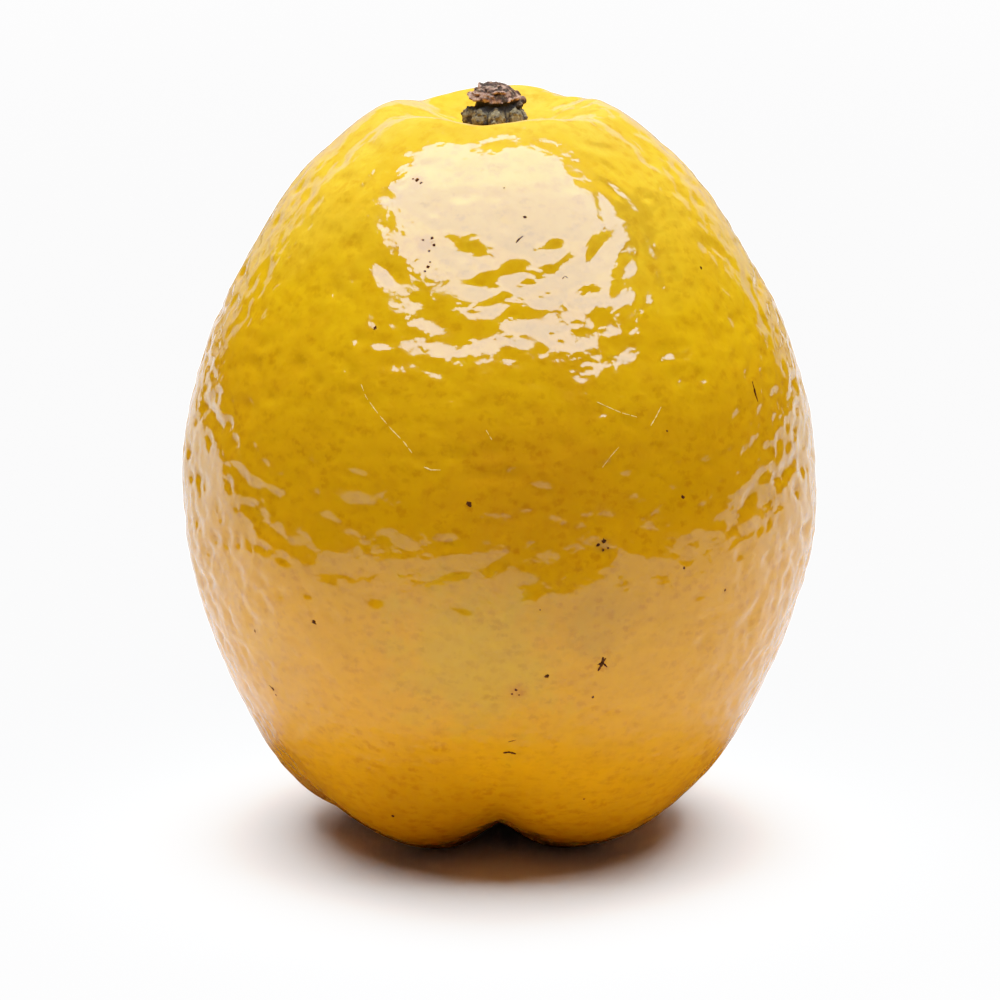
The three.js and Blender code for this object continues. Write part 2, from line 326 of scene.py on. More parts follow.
def swelling(x, y, z):
    """Broad shallow swellings of the flesh, a few centimetres from one to the next."""
    first = np.sin(0.17 * x + 0.09 * z + 0.6) * np.cos(0.19 * y - 0.07 * z + 0.3)
    second = np.sin(0.23 * y + 0.14 * z + 2.1) * np.cos(0.26 * x - 0.17 * z + 1.2)
    return 0.3 * first + 0.17 * second


def fruit_knots():
    basin = [
        (0, BASIN_DEPTH),
        (0.35 * FOOT_RADIUS, 0.93 * BASIN_DEPTH),
        (0.62 * FOOT_RADIUS, 0.45 * BASIN_DEPTH),
        (0.82 * FOOT_RADIUS, 0.1 * BASIN_DEPTH),
        (FOOT_RADIUS, 0),
    ]
    cavity = [
        (1.22 * RIM_RADIUS, RIM_HEIGHT - 1.1),
        (RIM_RADIUS, RIM_HEIGHT),
        (0.72 * RIM_RADIUS, RIM_HEIGHT - 0.38 * CAVITY_DEPTH),
        (0.38 * RIM_RADIUS, RIM_HEIGHT - 0.93 * CAVITY_DEPTH),
        (0, RIM_HEIGHT - CAVITY_DEPTH),
    ]
    return basin + FLANK + cavity


def profile_table(steps_per_span=200):
    """The smooth run through the knots, from the basin's middle to the hollow's: radii and heights."""
    knots = fruit_knots()
    first = (-knots[1][0], knots[1][1])
    last = (-knots[-2][0], knots[-2][1])
    points = np.array([first, *knots, last], float)
    step = np.linspace(0, 1, steps_per_span, endpoint=False)[:, None]
    spans = []
    for before, start, end, after in zip(points, points[1:], points[2:], points[3:]):
        leaving = (end - before) / 2
        arriving = (after - start) / 2
        spans.append(
            (2 * start - 2 * end + leaving + arriving) * step ** 3
            + (-3 * start + 3 * end - 2 * leaving - arriving) * step ** 2
            + leaving * step
            + start
        )
    table = np.vstack([*spans, points[-2:-1]])
    return np.maximum(table[:, 0], 0), table[:, 1]


def fruit_points(radius, height, azimuth):
    """The fruit's surface without its dimples, as x, y, z in millimetres."""
    x = radius * np.sin(azimuth)
    y = -radius * np.cos(azimuth)
    shrink = 1 - groove_depth(radius, height, azimuth) / MIDDLE_HEIGHT
    edge = np.sin(math.pi * np.clip(height / RIM_HEIGHT, 0, 1))
    swell = 1 + edge * swelling(x, y, height) / WAIST_RADIUS
    above = np.maximum(height - MIDDLE_HEIGHT, 0) / MIDDLE_HEIGHT
    points = np.empty((len(radius), 3))
    points[:, 0] = x * shrink * swell + STALK_LEAN * above ** 2
    points[:, 1] = y * shrink * swell
    points[:, 2] = MIDDLE_HEIGHT + (height - MIDDLE_HEIGHT) * shrink - PRESSED_FLAT
    points[:, 2] += shoulder_lift(radius, height, azimuth)
    return points


# Meshes

def new_object(name, points, faces, material, smooth_faces=True):
    """A mesh object from points in millimetres."""
    mesh = bpy.data.meshes.new(name)
    mesh.from_pydata((np.asarray(points) * MM).tolist(), [], faces)
    mesh.update()
    if smooth_faces:
        mesh.shade_smooth()
    mesh.materials.append(material)
    piece = bpy.data.objects.new(name, mesh)
    bpy.context.scene.collection.objects.link(piece)
    return piece


def read_points(mesh):
    points = np.empty(3 * len(mesh.vertices))
    mesh.vertices.foreach_get("co", points)
    return points.reshape(-1, 3) / MM


def write_points(mesh, points):
    mesh.vertices.foreach_set("co", (points * MM).ravel())
    mesh.update()


def read_normals(mesh):
    normals = np.empty(3 * len(mesh.vertices))
    mesh.vertex_normals.foreach_get("vector", normals)
    return normals.reshape(-1, 3)


def cube_sphere(cells):
    """Points on the unit sphere, and the quads between them, evenly spread and with no poles."""
    steps = np.tan(np.linspace(-math.pi / 4, math.pi / 4, cells + 1))
    across, up = np.meshgrid(steps, steps, indexing="ij")
    corner = np.arange(cells + 1) * (cells + 1)
    low_left = (corner[:-1, None] + np.arange(cells)[None, :]).ravel()
    quad = np.stack([low_left, low_left + cells + 1, low_left + cells + 2, low_left + 1], 1)
    points, quads = [], []
    for axis in range(3):
        for side in (1, -1):
            patch = np.empty(((cells + 1) ** 2, 3))
            patch[:, axis] = side
            patch[:, (axis + 1) % 3] = across.ravel()
            patch[:, (axis + 2) % 3] = up.ravel()
            quads.append((quad if side > 0 else quad[:, ::-1]) + len(points) * len(patch))
            points.append(patch)
    points = np.vstack(points)
    points /= np.linalg.norm(points, axis=1, keepdims=True)
    _, first, shared = np.unique(
        np.round(points, 6), axis=0, return_index=True, return_inverse=True
    )
    return points[first], shared.ravel()[np.vstack(quads)]


# Nodes of a material

class Nodes:
    """Adds nodes to a material. An input is a number, a colour or another node's output."""

    def __init__(self, name):
        self.material = bpy.data.materials.new(name)
        self.material.use_nodes = True
        self.tree = self.material.node_tree
        self.shader = self.tree.nodes["Principled BSDF"]

    def add(self, kind, settings=None, **inputs):
        node = self.tree.nodes.new("ShaderNode" + kind)
        for key, value in (settings or {}).items():
            setattr(node, key, value)
        for key, value in inputs.items():
            self.feed(node.inputs[key.replace("_", " ")], value)
        return node

    def feed(self, socket, value):
        if isinstance(value, bpy.types.NodeSocket):
            self.tree.links.new(value, socket)
        else:
            socket.default_value = value

    def operate(self, kind, operation, first, second):
        node = self.add(kind, {"operation": operation})
        self.feed(node.inputs[0], first)
        self.feed(node.inputs[1], second)
        return node

    def math(self, operation, first, second):
        return self.operate("Math", operation, first, second).outputs[0]

    def scaled(self, vector, factors):
        return self.operate("VectorMath", "MULTIPLY", vector, factors).outputs[0]

    def distance(self, vector, point):
        return self.operate("VectorMath", "DISTANCE", vector, point).outputs["Value"]

    def millimetres(self):
        coordinates = self.add("TexCoord").outputs["Object"]
        return self.scaled(coordinates, (1 / MM, 1 / MM, 1 / MM))

    def noise(self, vector, size, detail=2.0, roughness=0.5):
        """Noise from 0 to 1 whose blotches are about size millimetres."""
        node = self.add(
            "TexNoise", Vector=vector, Scale=1 / size, Detail=detail, Roughness=roughness
        )
        return node.outputs[0]

    def cells(self, vector, pitch):
        """The distance to the nearest of many points scattered about pitch millimetres apart."""
        node = self.add("TexVoronoi", Vector=vector, Scale=1 / pitch)
        return node.outputs["Distance"]

    def ramp(self, value, low, high, start=0.0, end=1.0, smooth_step=True):
        settings = {"interpolation_type": "SMOOTHSTEP" if smooth_step else "LINEAR"}
        node = self.add("MapRange", settings)
        for index, number in enumerate((value, low, high, start, end)):
            self.feed(node.inputs[index], number)
        return node.outputs[0]

    def mix(self, factor, first, second, blend="MIX"):
        node = self.add("Mix", {"data_type": "RGBA", "blend_type": blend})
        self.feed(node.inputs[0], factor)
        self.feed(node.inputs[6], first)
        self.feed(node.inputs[7], second)
        return node.outputs[2]

    def colours(self, value, stops):
        """A colour ramp: stops are (position, colour)."""
        node = self.add("ValToRGB")
        elements = node.color_ramp.elements
        while len(elements) < len(stops):
            elements.new(0.5)
        for element, (position, colour) in zip(elements, stops):
            element.position = position
            element.color = colour
        self.feed(node.inputs[0], value)
        return node.outputs[0]

    def bump(self, height, distance, normal=None):
        """A normal for the shader, from a relief that is distance millimetres high."""
        node = self.add("Bump", Height=height, Distance=distance * MM)
        if normal is not None:
            self.feed(node.inputs["Normal"], normal)
        return node.outputs[0]

    def finish(self, **sockets):
        for key, value in sockets.items():
            self.feed(self.shader.inputs[key.replace("_", " ")], value)
        return self.material


def srgb(red, green, blue):
    """A linear colour from 0 to 255 values as they look on a screen."""
    linear = [
        value / 12.92 if value <= 0.04045 else ((value + 0.055) / 1.055) ** 2.4
        for value in (red / 255, green / 255, blue / 255)
    ]
    return (*linear, 1.0)


# Camera, table and light

def make_camera(axis):
    back = Vector((0, -math.cos(CAMERA_PITCH), math.sin(CAMERA_PITCH)))
    data = bpy.data.cameras.new("camera")
    data.lens = LENS
    data.sensor_width = SENSOR
    data.clip_start = 0.01
    data.clip_end = 20
    camera = bpy.data.objects.new("camera", data)
    camera.location = axis + Vector((0, 0, LOOK_HEIGHT * MM)) + back * CAMERA_DISTANCE * MM
    camera.rotation_euler = back.to_track_quat("Z", "Y").to_euler()
    bpy.context.scene.collection.objects.link(camera)
    bpy.context.scene.camera = camera
    return camera


def area_light(name, centre, target, size, radiance):
    """A rectangle that shines towards the target and that the camera doesn't see."""
    data = bpy.data.lights.new(name, "AREA")
    data.shape = "RECTANGLE"
    data.size, data.size_y = size
    data.energy = radiance * math.pi * size[0] * size[1]
    light = bpy.data.objects.new(name, data)
    light.location = centre
    light.rotation_euler = (Vector(centre) - Vector(target)).to_track_quat("Z", "Y").to_euler()
    light.visible_camera = False
    bpy.context.scene.collection.objects.link(light)
    return light


def plain_material(name, colour):
    nodes = Nodes(name)
    return nodes.finish(Base_Color=colour, Roughness=1.0, Specular_IOR_Level=0.0)


def rectangle(left, front, right, back):
    return [(left, front), (right, front), (right, back), (left, back)]


def sheet(name, outline, height, material):
    """A flat piece of card or cloth, with its outline in metres."""
    corners = [(x / MM, y / MM, height / MM) for x, y in outline]
    return new_object(name, corners, [tuple(range(len(corners)))], material, smooth_faces=False)


def grey_card():
    """Grey card, darker and warmer where the fruit shades and tints it."""
    nodes = Nodes("grey_card")
    away = nodes.ramp(nodes.distance(nodes.millimetres(), (0, 0, 0)), *SHADE_REACH)
    colour = nodes.mix(away, SHADED_GREY, OPEN_GREY)
    return nodes.finish(Base_Color=colour, Roughness=1.0, Specular_IOR_Level=0.0)


def hidden_sheet(name, outline, height, material):
    """A sheet that only reflections and bounced light show."""
    piece = sheet(name, outline, height, material)
    piece.visible_camera = False
    piece.visible_shadow = False
    return piece


def make_stage():
    white = plain_material("table", TABLE_WHITE)
    floor = sheet("floor", rectangle(-1.1, -0.9, 1.1, 0.9), 0, white)
    # The skin mirrors a greyer table, with black cloth round its front and sides.
    cloth = plain_material("black_cloth", CLOTH_BLACK)
    mirrored = hidden_sheet(
        "mirrored_table", rectangle(-1, CARD_FRONT, 1, CARD_BACK), CARD_HEIGHT, grey_card()
    )
    mirrored.visible_diffuse = False
    cloths = [
        hidden_sheet(name, outline, CLOTH_HEIGHT, cloth) for name, outline in CLOTHS.items()
    ]
    # A black flag cuts off the softbox's near left corner.
    flag = hidden_sheet("flag", FLAG, FLAG_HEIGHT, cloth)
    flag.visible_shadow = True
    flag.visible_diffuse = False


def make_light():
    """A softbox that the skin mirrors, one overhead that lights the fruit, and bright ones behind."""
    softbox = area_light(
        "softbox", centre=(0.11, -0.36, TOP), target=(0.11, -0.36, 0), size=(1.62, 0.98), radiance=5.2
    )
    softbox.rotation_euler.z += math.radians(-5)
    softbox.visible_diffuse = False
    overhead = area_light(
        "overhead", centre=(0, 0.04, TOP), target=(0, 0.04, 0), size=(1.25, 0.9), radiance=5.2
    )
    behind = area_light(
        "behind", centre=(0, 0.9, TOP), target=(0, 0.6, 0), size=(1.9, 0.7), radiance=2
    )
    for unmirrored in (overhead, behind):
        unmirrored.visible_glossy = False
    area_light(
        "backdrop", centre=(0, 1.25, 0.27), target=(0, 0, 0.27), size=(2.1, 0.5), radiance=0.3
    )
    world = bpy.data.worlds.new("room")
    world.use_nodes = True
    bpy.context.scene.world = world
    tree = world.node_tree
    # The camera sees a white room, and the fruit mirrors a dark one.
    ray = tree.nodes.new("ShaderNodeLightPath")
    room = tree.nodes.new("ShaderNodeMix")
    room.data_type = "RGBA"
    room.inputs[6].default_value = DARK_ROOM
    room.inputs[7].default_value = WHITE
    tree.links.new(ray.outputs["Is Camera Ray"], room.inputs[0])
    tree.links.new(room.outputs[2], tree.nodes["Background"].inputs["Color"])


def set_colours():
    view = bpy.context.scene.view_settings
    view.view_transform = "Standard"
    view.look = "None"
    view.exposure = 0
    view.gamma = 1
    # Middle tones are doubled, and bright ones held back more and more before they reach white.
    view.use_curve_mapping = True
    curve = view.curve_mapping.curves[3]
    for level in [(0.25, 0.5), (0.5, 0.8), (0.65, 0.94), (0.85, 1.0)]:
        curve.points.new(*level)
    view.curve_mapping.update()


# Skin

def skin_base():
    """The fine mesh of the fruit in millimetres, spread by area and crowded a little to the front."""
    directions, quads = cube_sphere(SKIN_CELLS)
    directions[:, 1] -= FRONT_PULL
    directions /= np.linalg.norm(directions, axis=1, keepdims=True)
    radii, heights = profile_table()
    lengths = np.hypot(np.diff(radii), np.diff(heights))
    rings = lengths * (radii[1:] + radii[:-1]) / 2
    share = np.concatenate([[0], np.cumsum(rings)]) / rings.sum()
    below = (1 + directions[:, 2]) / 2
    radius = np.interp(below, share, radii)
    height = np.interp(below, share, heights)
    azimuth = np.arctan2(directions[:, 0], -directions[:, 1])
    return fruit_points(radius, height, azimuth), quads


def axis_offset(points):
    """Where the fruit's axis stands in the frame, worked out from the CAD fruit's own box."""
    low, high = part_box("fruit")
    own = (points.min(0) + points.max(0)) / 2
    middle = (low + high) / 2
    return np.array([middle.x / MM - own[0], middle.y / MM - own[1], 0.0])


def point_tree(points):
    tree = KDTree(len(points))
    for index, point in enumerate(points):
        tree.insert(point, index)
    tree.balance()
    return tree


def scatter(points, tree, spacing, random):
    """Indices of points at least about spacing apart, in a random order."""
    taken = []
    blocked = np.zeros(len(points), bool)
    for index in random.permutation(len(points)):
        if blocked[index]:
            continue
        taken.append(index)
        reach = spacing * random.uniform(0.75, 1.35)
        for _, near, _ in tree.find_range(points[index], reach):
            blocked[near] = True
    return taken


def dent(points, normals, found, centre, radius, stretch, steepness, turn):
    """The points pressed in by one long dimple, and how far."""
    near = np.array([index for _, index, _ in found])
    offset = points[near] - points[centre]
    along = np.cross((0, 0, 1), normals[centre])
    length = np.linalg.norm(along)
    along = along / length if length > 0.1 else np.array((1.0, 0, 0))
    along = math.cos(turn) * along + math.sin(turn) * np.cross(normals[centre], along)
    level = offset @ along
    rest = (offset ** 2).sum(1) - level ** 2
    return near, steepness * radius * np.exp(-((level / stretch) ** 2 + rest) / radius ** 2)


def gloss_edge(x, y, is_hole):
    """The level in the picture where the gloss at a pixel ends, and which way a pit looks past it."""
    if y > MIDDLE_ROW:
        return HORIZON_ROW - HORIZON_SAG * ((x - PICTURE / 2) / 200) ** 2, -1 if is_hole else 1
    if is_hole and y < (SOFTBOX_ROWS[0] + SOFTBOX_ROWS[1]) / 2 - 10:
        return SOFTBOX_ROWS[0], -1
    return SOFTBOX_ROWS[1], 1 if is_hole else -1


def placed_pits(seen):
    """Pits that show as the holes and flecks of the picture: place, radius, stretch, steepness, turn."""
    pits = []
    for is_hole, marks in ((True, HOLES), (False, FLECKS)):
        for x, y, width, height, slant in marks:
            edge, down = gloss_edge(x, y, is_hole)
            tilt = max(abs(edge - y) / PIXELS_PER_MM / FLANK_BEND, LEAST_TILT)
            radius = max(height / PIT_SHOWN / PIXELS_PER_MM, LEAST_PLACED_RADIUS)
            stretch = max(width / PIXELS_PER_MM / (1.1 * radius), 0.6)
            most = STEEPEST_HOLE if is_hole else STEEPEST_FLECK
            steepness = min(TILT_MARGIN * math.tan(tilt) / DENT_SLOPE, most)
            place, _ = seen.under_pixel(x, y + down * 0.75 * radius * PIXELS_PER_MM)
            pits.append((place, radius, stretch, steepness, math.radians(slant)))
    return pits


def dimple_depths(points, normals, seen):
    """How far each point of the skin is pressed in by its pits and its orange peel."""
    random = np.random.default_rng(SEED)
    depths = np.zeros(len(points))
    tree = point_tree(points)
    pits = placed_pits(seen)
    placed = point_tree([pit[0] for pit in pits])
    for place, radius, stretch, steepness, turn in pits:
        _, centre, _ = tree.find(place)
        found = tree.find_range(place, 2 * radius * max(stretch, 1))
        near, depth = dent(points, normals, found, centre, radius, stretch, steepness, turn)
        depths[near] = np.maximum(depths[near], depth)
    from_calm = np.linalg.norm(points - seen.under_pixel(*CALM_PIXEL)[0], axis=1)
    lively = np.interp(from_calm, CALM_REACH, (CALM_SHARE, 1))
    for kind in (PITS, PEEL):
        for centre in scatter(points, tree, kind.spacing, random):
            share = lively[centre] * np.interp(points[centre, 2], LOW_HEIGHTS, (kind.low_share, 1))
            sideways = np.interp(abs(points[centre, 0]), SIDE_REACH, (0, 1))
            share *= 1 + (kind.side_share - 1) * sideways
            steep = kind.steepness[0] + np.ptp(kind.steepness) * random.random() ** kind.rarity
            radius = random.uniform(*kind.radius) * (1 + (kind.side_size - 1) * sideways)
            stretch = random.uniform(*kind.stretch)
            turn = random.normal(0, TURN_SPREAD)
            if placed.find(points[centre])[2] < kind.clearance:
                continue
            found = tree.find_range(points[centre], 2 * radius * stretch)
            near, depth = dent(points, normals, found, centre, radius, stretch, share * steep, turn)
            depths[near] += depth
    return depths


def ripples(points, wavelength, count, random):
    """A smooth random field of about unit size whose waves are near the given length."""
    field = np.zeros(len(points))
    for _ in range(count):
        direction = random.normal(size=3)
        direction *= TURN / (wavelength * random.uniform(0.75, 1.4)) / np.linalg.norm(direction)
        field += np.sin(points @ direction + random.uniform(0, TURN))
    return field / math.sqrt(count / 2)


def make_skin():
    """The smooth skin, whose material comes later, and where the fruit's axis stands."""
    points, quads = skin_base()
    offset = axis_offset(points)
    return new_object("fruit_skin", points + offset, quads.tolist(), None), Vector(offset * MM)


def dent_skin(skin, offset, seen):
    """Presses the pits, the orange peel and the stalk's seat into the smooth skin."""
    points = read_points(skin.data)
    normals = read_normals(skin.data)
    random = np.random.default_rng(SEED + 1)
    pressed = dimple_depths(points, normals, seen)
    pressed += RIPPLE * (1 + ripples(points, RIPPLE_LENGTH, 60, random))
    from_stalk = np.hypot(points[:, 0] - offset[0] - STALK_LEAN, points[:, 1] - offset[1])
    pressed += SEAT_DEPTH * smooth(from_stalk, SEAT_RADIUS) * (points[:, 2] > MIDDLE_HEIGHT)
    points = points - pressed[:, None] * normals
    points[:, 2] = np.maximum(points[:, 2], 0)
    write_points(skin.data, points)


def skin_material(surface):
    """Waxy yellow skin, with painted light and shade in its colours by height and along the folds near
    the foot, and tinted patches where the picture has them.
    """
    nodes = Nodes("skin")
    spot = nodes.millimetres()
    height = nodes.add("SeparateXYZ", Vector=spot).outputs["Z"]
    wander = nodes.noise(spot, 30, detail=3)
    level = nodes.math("ADD", height, nodes.ramp(wander, 0.3, 0.7, -5, 5))
    # The colour by height holds painted shade at the foot and round the middle, and painted light on the
    # top.
    colour = nodes.colours(nodes.ramp(level, 0, 96, smooth_step=False), SKIN_TONES_AND_SHADE)
    mottle = nodes.noise(spot, 6, detail=4, roughness=0.6)
    colour = nodes.mix(nodes.ramp(mottle, 0.35, 0.75, 0, 0.3), colour, MOTTLE_TONE)
    ragged = nodes.ramp(nodes.noise(spot, 4, detail=4, roughness=0.65), 0.25, 0.75, 0.55, 1.45)
    for pixel, radius, tint, strength in PATCHES:
        middle = tuple(surface.under_pixel(*pixel)[0])
        reach = nodes.math("MULTIPLY", nodes.distance(spot, middle), ragged)
        inside = nodes.ramp(reach, 0.2 * radius, radius, strength, 0)
        colour = nodes.mix(inside, colour, tint)
    speckle = nodes.noise(spot, 1.6, detail=3, roughness=0.6)
    colour = nodes.mix(nodes.ramp(speckle, 0.42, 0.72, 0, 0.22), colour, SPECKLE_TONE)
    pores = nodes.cells(nodes.scaled(spot, (0.65, 0.65, 1)), PORE_PITCH)
    pores = nodes.math("ADD", pores, nodes.ramp(nodes.noise(spot, 0.5), 0.2, 0.8, -0.2, 0.2))
    pore_tone = nodes.ramp(nodes.noise(spot, 3.5), 0.3, 0.7, 0.25, 1)
    pit = nodes.math("MULTIPLY", nodes.ramp(pores, 0.08, 0.55, 1, 0), pore_tone)
    colour = nodes.mix(pit, colour, PORE_TINT, "MULTIPLY")
    # Painted shade: darker lines along the fine folds near the foot, in their hollows.
    low = nodes.ramp(height, 26, 8)
    folds = nodes.noise(nodes.scaled(spot, (0.4, 0.4, 1.3)), 0.9, detail=2)
    crease_shade = nodes.math("MULTIPLY", nodes.ramp(folds, 0.5, 0.7, 0, 0.4), low)
    colour = nodes.mix(crease_shade, colour, CREASE_SHADE_TONE)
    relief = nodes.bump(nodes.noise(spot, 0.4, detail=1), 0.006)
    hollows = nodes.cells(nodes.scaled(spot, (0.6, 0.6, 1)), 1.5)
    rarity = nodes.ramp(nodes.noise(spot, 2.5), 0.45, 0.75, 0.1, 1)
    hollow = nodes.math("MULTIPLY", nodes.ramp(hollows, 0.06, 0.42, 0, 1), rarity)
    relief = nodes.bump(hollow, 0.055, relief)
    relief = nodes.bump(nodes.math("MULTIPLY", folds, low), 0.012, relief)
    gloss = nodes.ramp(nodes.noise(spot, 3, detail=3), 0.3, 0.8, 0.05, 0.11)
    return nodes.finish(
        Base_Color=colour,
        Roughness=gloss,
        IOR=1.5,
        Subsurface_Weight=0.12,
        Subsurface_Radius=(1.0, 0.45, 0.1),
        Subsurface_Scale=2.2 * MM,
        Normal=relief,
    )


# Stalk stub

def rotated(points, angle, axis):
    """Points turned about the x axis (0) or the z axis (2)."""
    first, second = (axis + 1) % 3, (axis + 2) % 3
    cosine, sine = math.cos(angle), math.sin(angle)
    result = points.copy()
    result[:, first] = points[:, first] * cosine - points[:, second] * sine
    result[:, second] = points[:, first] * sine + points[:, second] * cosine
    return result


def turn_about_x(points, angle):
    return rotated(points, angle, 0)


def turn_about_z(points, angle):
    return rotated(points, angle, 2)


class Shape:
    """Points and faces of several closed shapes gathered into one mesh."""

    def __init__(self):
        self.points = []
        self.faces = []
        self.count = 0

    def add(self, points, faces):
        self.points.append(points)
        self.faces.extend(tuple(int(i) + self.count for i in face) for face in faces)
        self.count += len(points)

    def all_points(self):
        return np.vstack(self.points)


def lathe(profile, steps):
    """A closed solid turned about the z axis from a profile that starts and ends on it."""
    azimuth = np.arange(steps) * TURN / steps
    rings = [
        np.stack([radius * np.sin(azimuth), -radius * np.cos(azimuth), np.full(steps, height)], 1)
        for radius, height in profile[1:-1]
    ]
    points = np.vstack([[(0, 0, profile[0][1])], *rings, [(0, 0, profile[-1][1])]])
    last = len(points) - 1
    faces = [(0, 1 + (i + 1) % steps, 1 + i) for i in range(steps)]
    for ring in range(len(rings) - 1):
        low = 1 + ring * steps
        for i in range(steps):
            j = (i + 1) % steps
            faces.append((low + i, low + j, low + steps + j, low + steps + i))
    low = 1 + (len(rings) - 1) * steps
    faces += [(low + i, low + (i + 1) % steps, last) for i in range(steps)]
    return points, faces


def lobe_frame(index):
    """Where a lobe of the collar stands: its azimuth and its half sizes."""
    azimuth = (index + 0.3 * math.sin(2.4 * index)) * TURN / COLLAR_LOBES
    size = 1 + 0.16 * math.sin(1.7 * index + 0.8)
    return azimuth, np.array((0.95 * size, 1.08, 1.3 * size))


def collar_lobe(index):
    points, faces = cube_sphere(BALL_CELLS)
    azimuth, halves = lobe_frame(index)
    return turn_about_z(turn_about_x(points * halves, LOBE_TILT) + LOBE_CENTRE, azimuth), faces


def painted_shade_mask(points):
    """Painted shade: 1 in the gaps between the collar's lobes and in the recess under the cap, where
    shade falls, 0 elsewhere.
    """
    distances = []
    for index in range(COLLAR_LOBES):
        azimuth, halves = lobe_frame(index)
        own = turn_about_x(turn_about_z(points, -azimuth) - LOBE_CENTRE, -LOBE_TILT) / halves
        distances.append(np.linalg.norm(own, axis=1))
    distances = np.sort(distances, axis=0)
    between = np.clip(1.15 - (distances[1] - distances[0]) / 0.3, 0, 1)
    between = np.maximum(between, np.clip((distances[0] - 1.1) / 0.25, 0, 1))
    height = points[:, 2]
    from_axis = np.hypot(points[:, 0] - CAP_LEAN, points[:, 1])
    recess = np.interp(height, (1.5, 1.95, 2.85, 2.95), (0, 1, 1, 0)) * (from_axis < 3.4)
    return np.maximum(between * (height < 2.4), recess)


def edge_of_plates(points, rims):
    """1 along the torn edges of the cap's plates, 0 between them."""
    tree = point_tree(rims)
    return smooth(np.array([tree.find(point)[2] for point in points]), 0.3)


def ring_noise(azimuths, scale, level):
    """Noise that runs smoothly round a ring and meets itself."""
    return np.array([
        noise.noise(Vector((scale * math.cos(azimuth), scale * math.sin(azimuth), level)))
        for azimuth in azimuths
    ])


def torn_ring(radius, height, thickness, seed):
    """A ragged plate of bark: thin at its torn edge, and lifted unevenly. Also the edge's points."""
    profile = [(part * radius, height + level * thickness) for part, level in PLATE_EDGE]
    points, faces = lathe(profile, RIM_STEPS)
    azimuth = np.arctan2(points[:, 0], -points[:, 1])
    share = np.hypot(points[:, 0], points[:, 1]) / radius
    ragged = 0.3 * ring_noise(azimuth, 1.6, seed) + 0.22 * ring_noise(azimuth, 8, seed + 5)
    reach = 1 + ragged * share ** 3
    points[:, 0] *= reach
    points[:, 1] *= reach
    points[:, 2] += 0.75 * ring_noise(azimuth, 1.5, seed + 9) * share ** 2
    outermost = 1 + PLATE_EDGE[1:].index((1.0, 0.0)) * RIM_STEPS
    return points, faces, points[outermost:outermost + RIM_STEPS]


def cap_plates(shape):
    """Adds the cap's plates of bark, and returns the points of their torn edges."""
    rims = []
    for seed, (part, height, thickness) in enumerate(CAP_PLATES):
        points, faces, rim = torn_ring(part * CAP_RADIUS, height, thickness, seed + 1)
        shape.add(points + CAP_PLACE, faces)
        rims.append(rim + CAP_PLACE)
    return np.vstack(rims)


def cap_buds(shape):
    for azimuth, radius, height, size in BUDS:
        points, faces = cube_sphere(BALL_CELLS)
        points = points * (size, 1.15 * size, 0.9 * size) + (0, -radius, height)
        shape.add(turn_about_z(points, math.radians(azimuth)), faces)


def collar_grains(shape, random):
    """Small bumps on the outer side of the collar's lobes."""
    for _ in range(COLLAR_GRAINS):
        points, faces = cube_sphere(GRAIN_CELLS)
        azimuth, halves = lobe_frame(random.integers(COLLAR_LOBES))
        toward = random.normal(size=3) * (1, 0.5, 1) + (0, -0.7, 0.2)
        place = toward / np.linalg.norm(toward) * halves
        grain = turn_about_x(points * random.uniform(*GRAIN_SIZE) + place, LOBE_TILT)
        shape.add(turn_about_z(grain + LOBE_CENTRE, azimuth), faces)


def cap_grains(shape, random):
    """Small bumps on the cap's dome, longer along the rim than across it."""
    parts, heights = zip(*DOME)
    for _ in range(CAP_GRAINS):
        points, faces = cube_sphere(GRAIN_CELLS)
        height = random.uniform(heights[0], heights[-1])
        radius = CAP_RADIUS * np.interp(height, heights, parts)
        grain = points * (1.4, 0.8, 0.7) * random.uniform(*GRAIN_SIZE) + (0, -radius, height)
        shape.add(turn_about_z(grain, random.uniform(0, TURN)) + CAP_PLACE, faces)


def stalk_shape():
    shape = Shape()
    for index in range(COLLAR_LOBES):
        shape.add(*collar_lobe(index))
    cap = [(0.88, 2.9), *DOME]
    core = [*CORE, *[(part * CAP_RADIUS, height) for part, height in cap], (0, 4.95)]
    shape.add(*lathe(core, 64))
    rims = cap_plates(shape)
    cap_buds(shape)
    random = np.random.default_rng(SEED + 5)
    collar_grains(shape, random)
    cap_grains(shape, random)
    return shape, rims


def remeshed(name, shape, cell, material):
    """One skin round all the overlapping shapes, in cells of the given size in millimetres."""
    rough = new_object(name + "_rough", shape.all_points(), shape.faces, material)
    wrap = rough.modifiers.new("wrap", "REMESH")
    wrap.mode = "VOXEL"
    wrap.voxel_size = cell * MM
    bpy.context.view_layer.update()
    wrapped = rough.evaluated_get(bpy.context.evaluated_depsgraph_get())
    mesh = bpy.data.meshes.new_from_object(wrapped)
    bpy.data.objects.remove(rough)
    mesh.name = name
    mesh.shade_smooth()
    piece = bpy.data.objects.new(name, mesh)
    bpy.context.scene.collection.objects.link(piece)
    return piece


def roughen(piece, coarse, fine):
    """Pushes the surface in and out by a bark-like noise, and keeps the amount as an attribute."""
    points = read_points(piece.data)
    normals = read_normals(piece.data)
    amount = np.empty(len(points))
    for index, point in enumerate(points):
        place = Vector(point)
        crust = noise.ridged_multi_fractal(
            place * 0.9, 1.0, 2.1, 4, 1.0, 2.0, noise_basis="PERLIN_ORIGINAL"
        )
        amount[index] = coarse * (crust - 1.2) + fine * noise.noise(place * 4.5)
    write_points(piece.data, points + amount[:, None] * normals)
    keep(piece.data, "relief", amount / (coarse + fine))


def keep(mesh, name, values):
    """Stores a number at each point for the material to read."""
    spread = mesh.attributes.new(name, "FLOAT", "POINT")
    spread.data.foreach_set("value", values)
